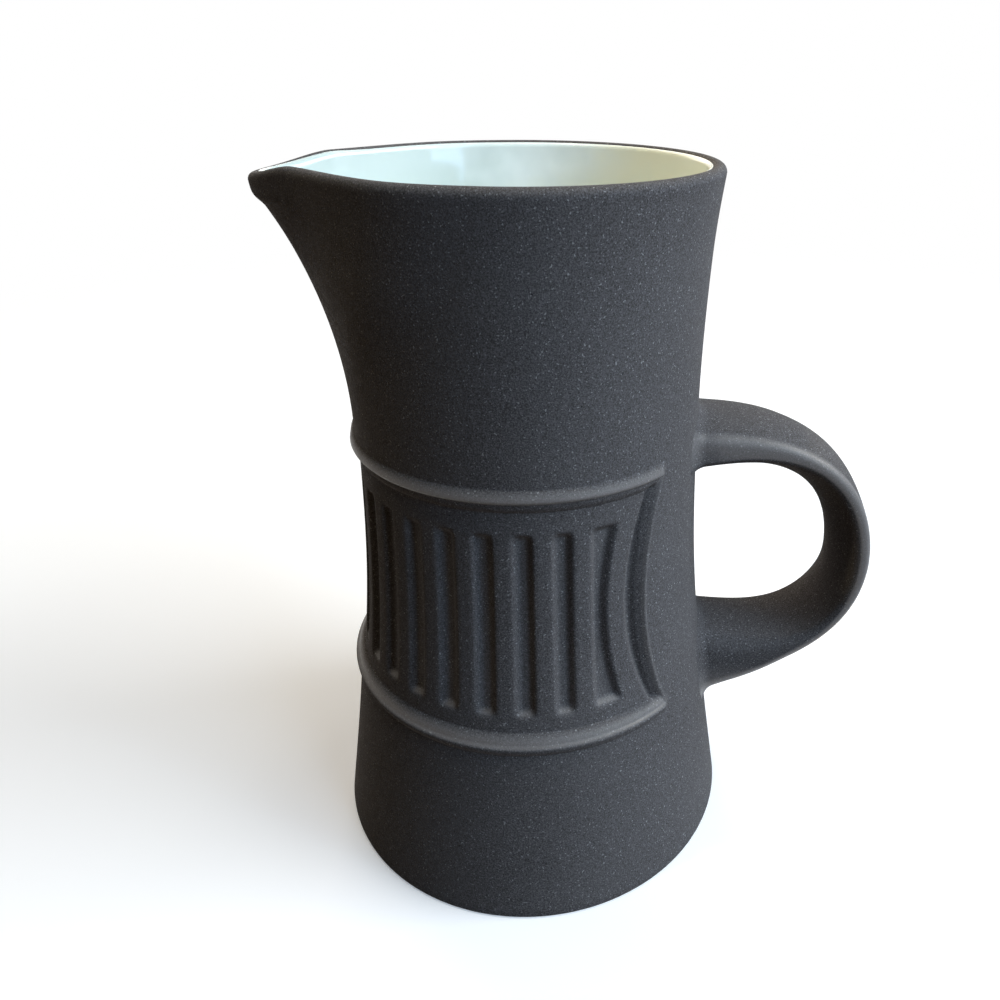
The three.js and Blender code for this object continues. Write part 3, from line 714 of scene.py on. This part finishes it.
def clay_material(name):
    """The stoneware of the body and the handle, which differ only in where their meshes mark them burnished
    and painted lighter.
    """
    clay = bpy.data.materials.new(name)
    clay.use_nodes = True
    nodes, wire = clay.node_tree.nodes, clay.node_tree.links.new
    shader = nodes["Principled BSDF"]
    place = nodes.new("ShaderNodeTexCoord").outputs["Object"]

    def noise(scale, detail=2.0, roughness=0.5):
        node = nodes.new("ShaderNodeTexNoise")
        node.inputs["Scale"].default_value = scale
        node.inputs["Detail"].default_value = detail
        node.inputs["Roughness"].default_value = roughness
        wire(place, node.inputs["Vector"])
        return node.outputs["Fac"]

    def between(value, low, high, bottom=0.0, top=1.0):
        node = nodes.new("ShaderNodeMapRange")
        node.inputs["From Min"].default_value = low
        node.inputs["From Max"].default_value = high
        node.inputs["To Min"].default_value = bottom
        node.inputs["To Max"].default_value = top
        wire(value, node.inputs["Value"])
        return node.outputs["Result"]

    def mix(amount, under, over):
        node = nodes.new("ShaderNodeMix")
        node.data_type = "RGBA"
        wire(amount, node.inputs["Factor"])
        colours = [s for s in node.inputs if s.type == "RGBA"]
        for socket, value in zip(colours, (under, over)):
            if isinstance(value, tuple):
                socket.default_value = (*value, 1)
            else:
                wire(value, socket)
        return next(s for s in node.outputs if s.type == "RGBA")

    def bumps(height, strength, under=None):
        """The surface with the bumps of a height on it, and on those of another bump node."""
        node = nodes.new("ShaderNodeBump")
        node.inputs["Strength"].default_value = strength
        node.inputs["Distance"].default_value = relief_height
        wire(height, node.inputs["Height"])
        if under is not None:
            wire(under, node.inputs["Normal"])
        return node.outputs["Normal"]

    rub_and_highlight = nodes.new("ShaderNodeAttribute")
    rub_and_highlight.attribute_name = "rub_and_highlight"

    def by_rub_and_highlight(bare, worn):
        """A value that goes from the bare clay's to the burnished clay's, whose lighter colour is partly a
        painted highlight.
        """
        return between(rub_and_highlight.outputs["Fac"], 0.2, 0.9, bare, worn)

    colour = mix(between(noise(45, 3), 0.3, 0.7), clay_dark, clay_light)
    colour = mix(between(noise(3800, 2, 0.7), 0.38, 0.66), colour, fine_grain)
    colour = mix(between(noise(3000, 0, 0.4), 0.725, 0.80), colour, pale_grain)
    colour = mix(between(noise(2400, 1, 0.4), 0.27, 0.20), colour, pit)
    # Lighter colour where the mesh is marked: partly real burnish, partly a painted highlight on the rings'
    # upper sides, the flutes' low ends and the strap's outer edges.
    colour = mix(by_rub_and_highlight(0, 0.45), colour, burnish_and_highlight_colour)
    wire(colour, shader.inputs["Base Color"])
    rough = nodes.new("ShaderNodeMath")
    rough.operation = "SUBTRACT"
    wire(between(noise(700, 3, 0.6), 0.3, 0.7, 0.74, 0.88), rough.inputs[0])
    wire(by_rub_and_highlight(0, 0.36), rough.inputs[1])
    wire(rough.outputs[0], shader.inputs["Roughness"])
    wire(by_rub_and_highlight(0.05, 0.5), shader.inputs["Specular IOR Level"])
    shader.inputs["Specular Tint"].default_value = (*clay_sheen, 1)

    turning = nodes.new("ShaderNodeMapping")
    turning.inputs["Scale"].default_value = (25, 25, 900)
    wire(place, turning.inputs["Vector"])
    lines = nodes.new("ShaderNodeTexNoise")
    lines.inputs["Scale"].default_value = 1
    lines.inputs["Detail"].default_value = 2
    wire(turning.outputs["Vector"], lines.inputs["Vector"])
    grain = bumps(noise(3000, 3, 0.65), 0.35)
    wire(bumps(lines.outputs["Fac"], 0.12, grain), shader.inputs["Normal"])
    return clay


body_clay = clay_material("dark_stoneware")
pressing = plain_body.modifiers.new("pressing", "NODES")
pressing.node_group = press
for item in press.interface.items_tree:
    if item.in_out == "INPUT" and item.name in band_sizes:
        pressing[item.identifier] = float(band_sizes[item.name])
    if item.in_out == "INPUT" and item.name == "Clay":
        pressing[item.identifier] = body_clay
evaluated = plain_body.evaluated_get(bpy.context.evaluated_depsgraph_get())
body_mesh = bpy.data.meshes.new_from_object(evaluated)
body_mesh.name = "jug_body"
for name in ("angle from handle", "height", "square to wall"):
    body_mesh.attributes.remove(body_mesh.attributes[name])
body = bpy.data.objects.new("jug_body", body_mesh)
bpy.context.collection.objects.link(body)
bpy.data.objects.remove(plain_body)
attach(body, "root")
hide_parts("body")


# The handle. A pulled strap of the same clay, a little crowned outside and bellied inside for the
# finger, luted to the wall at both ends with the joint smoothed over. Its ends stay inside the
# wall, and its outer edges are burnished and painted lighter, partly real burnish and partly a
# painted highlight, kept off the inner side of the lower arm. Five sizes along it run from the top
# root to the foot.

handle_top = 86.2
handle_top_rise = 4.6
handle_bow = 59.8
handle_foot = 34.4
handle_reach = 69.5
handle_top_run = 35
handle_bow_rise = 8
handle_bow_drop = 11
handle_foot_run = 28
strap_widths = (21.7, 20.2, 19.4, 19, 18.8)
strap_edges = (7.0, 2.6, 2.6, 3.4, 14.2)
strap_crowns = (0.5, 1.9, 0.6, 0.9, 1.7)
strap_bellies = (0.9, 4.1, 4.1, 2, 1.2)
strap_outer_corners = (2.3, 2.3, 2.3, 2.3, 3)
strap_inner_corners = (1.2, 1, 1, 1.3, 4)
root_bite = 3
root_kept = 0.5
fillet = 2.2
root_spread = 1.3
root_spread_reach = 6.5
stations = 170
crowd_at_roots = 0.6
corner_steps = 6
flat_steps = 14
corner_limit = 0.45
# Where the strap's edges are burnished and painted lighter: partly real burnish, partly a painted highlight.
edge_rub_and_highlight_from = 0.78
edge_rub_and_highlight_run = 0.16
inside_rub_and_highlight_limit = -0.45
inside_rub_and_highlight_run = 0.2
lower_arm_lift = 0.6
lower_arm_from = 0.6
lower_arm_run = 0.25
root_rub_and_highlight_from = 0.01
root_rub_and_highlight_run = 0.06
root_rub_and_highlight_least = 0.75


def bent(a, b, c, d, steps):
    """Points along the curve from a to d that sets out towards b and comes in from c."""
    t = np.linspace(0, 1, steps)[:, None]
    a, b, c, d = (np.array(p, float) for p in (a, b, c, d))
    return (1 - t) ** 3 * a + 3 * (1 - t) ** 2 * t * b + 3 * (1 - t) * t**2 * c + t**3 * d


top_root = float(wall_radius(handle_top)) - root_bite
foot_root = float(wall_radius(handle_foot)) - root_bite
upper = bent(
    (top_root, handle_top), (top_root + handle_top_run, handle_top + handle_top_rise),
    (handle_reach, handle_bow + handle_bow_rise), (handle_reach, handle_bow), 200,
)
lower_arm = bent(
    (handle_reach, handle_bow), (handle_reach, handle_bow - handle_bow_drop),
    (foot_root + handle_foot_run, handle_foot), (foot_root, handle_foot), 200,
)
route = np.vstack([upper, lower_arm[1:]])
run = np.concatenate([[0], np.cumsum(np.hypot(*np.diff(route, axis=0).T))])
even = np.linspace(0, 1, stations)
spots = even - crowd_at_roots * np.sin(2 * np.pi * even) / (2 * np.pi)
line = np.stack([np.interp(spots * run[-1], run, route[:, k]) for k in (0, 1)], -1)
along = np.gradient(line, axis=0)
along /= np.linalg.norm(along, axis=1)[:, None]
square_out = np.stack([-along[:, 1], along[:, 0]], -1)


def along_strap(sizes):
    """A size of the strap at each station, on a smooth curve through its five values."""
    curve = smooth_line([(k, size) for k, size in enumerate(sizes)], 60)[:, 1]
    return np.interp(spots, np.linspace(0, 1, len(curve)), curve)


def ramp(value, start, run):
    """0 up to the start and 1 past the run that follows it."""
    return np.clip((value - start) / run, 0, 1)


strap_points, strap_rub_and_highlight = [], []
corner_turns = np.linspace(0, np.pi / 2, corner_steps + 1)
corner_signs = [(1, 1), (-1, 1), (-1, -1), (1, -1)]
five_sizes = (
    strap_widths, strap_edges, strap_crowns, strap_bellies, strap_outer_corners, strap_inner_corners
)
station_sizes = zip(*(along_strap(five) for five in five_sizes))
for spot, strap_middle, side, sizes in zip(spots, line, square_out, station_sizes):
    width, thickness, crown, belly, outer_corner, finger_corner = sizes
    section = []
    for corner, (sx, sz) in enumerate(corner_signs):
        bend = min(outer_corner if sz > 0 else finger_corner, thickness * corner_limit)
        flat, level = width / 2 - bend, thickness / 2 - bend
        for turn in corner_turns + corner * np.pi / 2:
            section.append((sx * flat + bend * math.cos(turn), sz * level + bend * math.sin(turn)))
        if corner in (0, 2):
            for k in range(1, flat_steps):
                section.append((sx * flat * (1 - 2 * k / flat_steps), sz * thickness / 2))
    section = np.array(section)
    swell = 1 - (2 * section[:, 0] / width) ** 2
    section[:, 1] += np.where(section[:, 1] > 0, crown, -belly) * swell
    points = np.stack([
        strap_middle[0] + side[0] * section[:, 1],
        section[:, 0],
        strap_middle[1] + side[1] * section[:, 1],
    ], -1)
    from_wall = np.hypot(points[:, 0], points[:, 1]) - wall_radius(points[:, 2])
    near_wall = np.clip(1 - from_wall / fillet, 0, 1)
    from_wall = np.where(from_wall < 0, from_wall * root_kept, from_wall)
    flare = fillet * (1 - np.sqrt(1 - near_wall**2))
    away = section / np.linalg.norm(section, axis=1)[:, None]
    spread = root_spread * np.clip(1 - from_wall / root_spread_reach, 0, 1) ** 2 * np.clip(away[:, 1], 0, 1)
    points[:, 0] += side[0] * spread
    points[:, 2] += side[1] * spread
    points[:, 0] += side[0] * away[:, 1] * flare
    points[:, 1] += away[:, 0] * flare
    points[:, 2] += side[1] * away[:, 1] * flare
    back_to_wall = (from_wall + wall_radius(points[:, 2])) / np.hypot(points[:, 0], points[:, 1])
    points[:, :2] *= (1 + (back_to_wall - 1) * near_wall)[:, None]
    strap_points.append(points)
    # The strap's burnish and painted highlight: on its outer edges, kept off the inner side of the lower
    # arm.
    edge_rub_and_highlight = ramp(2 * np.abs(section[:, 0]) / width, edge_rub_and_highlight_from, edge_rub_and_highlight_run)
    inner_limit = lower_arm_lift * ramp(spot, lower_arm_from, lower_arm_run) + inside_rub_and_highlight_limit
    outer_rub_and_highlight = ramp(section[:, 1] / thickness, inner_limit, inside_rub_and_highlight_run)
    root_rub_and_highlight = np.clip((spot - root_rub_and_highlight_from) / root_rub_and_highlight_run, root_rub_and_highlight_least, 1)
    strap_rub_and_highlight.append(edge_rub_and_highlight * outer_rub_and_highlight * root_rub_and_highlight)
count = len(strap_points[0])
strap_points = np.vstack(strap_points)
strap_points[:, 0] += axis_x / MM
strap_faces = []
for station in range(stations - 1):
    for k in range(count):
        a, b = station * count + k, station * count + (k + 1) % count
        strap_faces.append((a, b, b + count, a + count))
strap_faces.append(tuple(range(count))[::-1])
strap_faces.append(tuple(range((stations - 1) * count, stations * count)))
strap_mesh = bpy.data.meshes.new("jug_handle")
strap_mesh.from_pydata(strap_points * MM, [], strap_faces)
strap_mesh.polygons.foreach_set("use_smooth", [True] * len(strap_faces))
strap_mesh.attributes.new("rub_and_highlight", "FLOAT", "POINT").data.foreach_set("value", np.concatenate(strap_rub_and_highlight))
strap_mesh.materials.append(clay_material("handle_stoneware"))
handle = bpy.data.objects.new("jug_handle", strap_mesh)
bpy.context.collection.objects.link(handle)
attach(handle, "root")
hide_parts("handle")


# The glaze. A pale, glossy coat poured inside and run out over the spout's channel. It climbs the
# rounded inside of the lip and thins to a soft edge there, just below the bare clay of its top.

glaze_coat = 0.45
glaze_edge_turn = 38
glaze_edge_thinning = 0.45
glaze_run_turn = 28
glaze_run_angle = 32
glaze_sunk = 0.05
glaze_columns = 240
glaze_tint_scale = 55
glaze_ripple_scale = 160
# Across the jug the glaze runs from a duller grey-green on the spout's side to cream on the handle's side:
# partly its own tone, partly painted shade on the spout's side and painted warm light on the handle's side.
tone_and_light_per_metre = 12
tone_and_light_at_middle = 0.2
glaze_tone_and_shade = (0.60, 0.65, 0.57)
glaze_middle = (0.88, 0.90, 0.82)
glaze_tone_and_warm_light = (0.95, 0.92, 0.74)
angle = np.linspace(0, 2 * np.pi, glaze_columns, endpoint=False)
outer_depth = wall - glaze_sunk
inner_depth = wall + glaze_coat
glaze_rings = []
inner_floor = floor_height + glaze_coat


def glaze_corner(turn, depth, floor):
    """A ring of the glaze in the rounded corner between the wall and the floor."""
    inner = skin(angle, floor_height + inner_corner, depth)
    radius = inner_corner - (depth - wall)
    inner[:, :2] *= (1 - radius * (1 - math.cos(turn)) / np.hypot(inner[:, 0], inner[:, 1]))[:, None]
    inner[:, 2] = floor + radius * (1 - math.sin(turn))
    return inner


def glaze_on_lip(turn, coat):
    """A ring of the glaze where it climbs the rounded inside of the lip."""
    ring = skin(angle, dipped(angle, height - lip), lip + (lip + coat) * np.cos(turn))
    ring[:, 2] += (lip + coat) * np.sin(turn)
    return ring


for turn in np.radians([90, 60, 30]):
    glaze_rings.append(glaze_corner(turn, outer_depth, floor_height - glaze_sunk))
for row in stretches(floor_height + inner_corner, (spout_root, 6), (height - lip, 16)):
    glaze_rings.append(skin(angle, dipped(angle, row), outer_depth))
from_tip = np.clip(1 - from_keel(angle) / math.radians(glaze_run_angle), 0, 1)
edge = np.radians(glaze_edge_turn + glaze_run_turn * from_tip * from_tip * (3 - 2 * from_tip))
for share in (0.25, 0.5, 0.75, 1):
    glaze_rings.append(glaze_on_lip(edge * share, -glaze_sunk))
edge_coat = glaze_coat * glaze_edge_thinning
for share, bulge in ((0.2, 0.05), (0.5, 0.07), (0.8, 0.05)):
    glaze_rings.append(glaze_on_lip(edge + bulge, -glaze_sunk + (edge_coat + glaze_sunk) * share))
for share in (1, 0.85, 0.7, 0.55, 0.4, 0.2):
    glaze_rings.append(glaze_on_lip(edge * share, glaze_coat + (edge_coat - glaze_coat) * share**2))
for row in stretches(height - lip, (spout_root, 40), (floor_height + inner_corner, 20)):
    glaze_rings.append(skin(angle, dipped(angle, row), inner_depth))
for turn in np.radians([15, 30, 45, 60, 75, 90]):
    glaze_rings.append(glaze_corner(turn, inner_depth, inner_floor))
glaze = turned("glaze_coat", glaze_rings, floor_height - glaze_sunk, inner_floor)

gloss = bpy.data.materials.new("pale_glaze")
gloss.use_nodes = True
nodes, wire = gloss.node_tree.nodes, gloss.node_tree.links.new
shader = nodes["Principled BSDF"]
place = nodes.new("ShaderNodeTexCoord").outputs["Object"]
pool = nodes.new("ShaderNodeTexNoise")
pool.inputs["Scale"].default_value = glaze_tint_scale
pool.inputs["Detail"].default_value = 3
wire(place, pool.inputs["Vector"])
# Painted across X: the glaze's own tone, with painted shade towards the spout and painted warm light towards
# the handle, plus random pools.
across = nodes.new("ShaderNodeSeparateXYZ")
wire(place, across.inputs["Vector"])
tone_and_light_across = nodes.new("ShaderNodeMath")
tone_and_light_across.operation = "MULTIPLY_ADD"
tone_and_light_across.inputs[1].default_value = tone_and_light_per_metre
tone_and_light_across.inputs[2].default_value = tone_and_light_at_middle
wire(across.outputs["X"], tone_and_light_across.inputs[0])
where_tinted = nodes.new("ShaderNodeMath")
where_tinted.operation = "ADD"
wire(tone_and_light_across.outputs[0], where_tinted.inputs[0])
wire(pool.outputs["Fac"], where_tinted.inputs[1])
tint = nodes.new("ShaderNodeValToRGB")
tint.color_ramp.elements[0].position = 0.2
tint.color_ramp.elements[0].color = (*glaze_tone_and_shade, 1)
tint.color_ramp.elements[1].position = 0.95
tint.color_ramp.elements[1].color = (*glaze_tone_and_warm_light, 1)
tint.color_ramp.elements.new(0.6).color = (*glaze_middle, 1)
wire(where_tinted.outputs[0], tint.inputs["Fac"])
wire(tint.outputs["Color"], shader.inputs["Base Color"])
shine = nodes.new("ShaderNodeMapRange")
shine.inputs["To Min"].default_value = 0.06
shine.inputs["To Max"].default_value = 0.16
wire(pool.outputs["Fac"], shine.inputs["Value"])
wire(shine.outputs["Result"], shader.inputs["Roughness"])
ripple = nodes.new("ShaderNodeTexNoise")
ripple.inputs["Scale"].default_value = glaze_ripple_scale
wire(place, ripple.inputs["Vector"])
waves = nodes.new("ShaderNodeBump")
waves.inputs["Strength"].default_value = 0.15
waves.inputs["Distance"].default_value = 0.0004
wire(ripple.outputs["Fac"], waves.inputs["Height"])
wire(waves.outputs["Normal"], shader.inputs["Normal"])
glaze.data.materials.append(gloss)
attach(glaze, "root")
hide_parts("glaze_lining")
